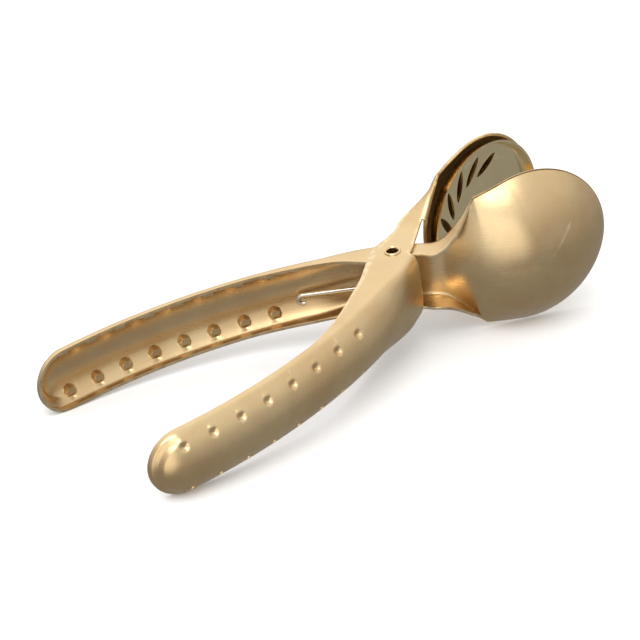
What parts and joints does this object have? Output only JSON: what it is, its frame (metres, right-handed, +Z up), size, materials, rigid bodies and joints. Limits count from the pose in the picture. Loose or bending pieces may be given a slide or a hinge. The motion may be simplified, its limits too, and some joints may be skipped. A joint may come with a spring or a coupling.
{
  "type": "garlic press",
  "caption": "Hand press of two crossed pressed-metal levers: a bowl jaw closes on a slotted strainer pan, with dimpled channel handles and a spring that opens them.",
  "frame": {"origin": "centre of the press's footprint as it lies on its side, on the surface that it lies on", "axes": "+X towards the jaws, +Y towards the bowl lever's handle, +Z up from the surface"},
  "size_m": [0.1788, 0.0734, 0.053],
  "materials": {
    "bowl_lever": "brushed satin gold coating",
    "strainer_lever": "brushed satin gold coating",
    "strainer_pan": "mirror-polished pale gold",
    "pivot_tube": "gold coating, rolled and burnished",
    "torsion_spring": "bright drawn wire"
  },
  "bodies": {
    "strainer_side": {"strainer_lever": "strainer_lever", "strainer_pan": "strainer_pan", "pivot_tube": "pivot_tube", "torsion_spring": "torsion_spring"},
    "bowl_side": {"bowl_lever": "bowl_lever"}
  },
  "joints": [
    {"name": "lever_hinge", "type": "hinge", "parent": "strainer_side", "child": "bowl_side", "pos_m": [0.02159, 0.00001, 0.02181], "axis": [-0.1123, 0, 0.9937], "range_deg": [0, 27], "stiffness_Nm_per_rad": 0.4, "springref_deg": -20.05, "deforming": ["torsion_spring"]}
  ]
}
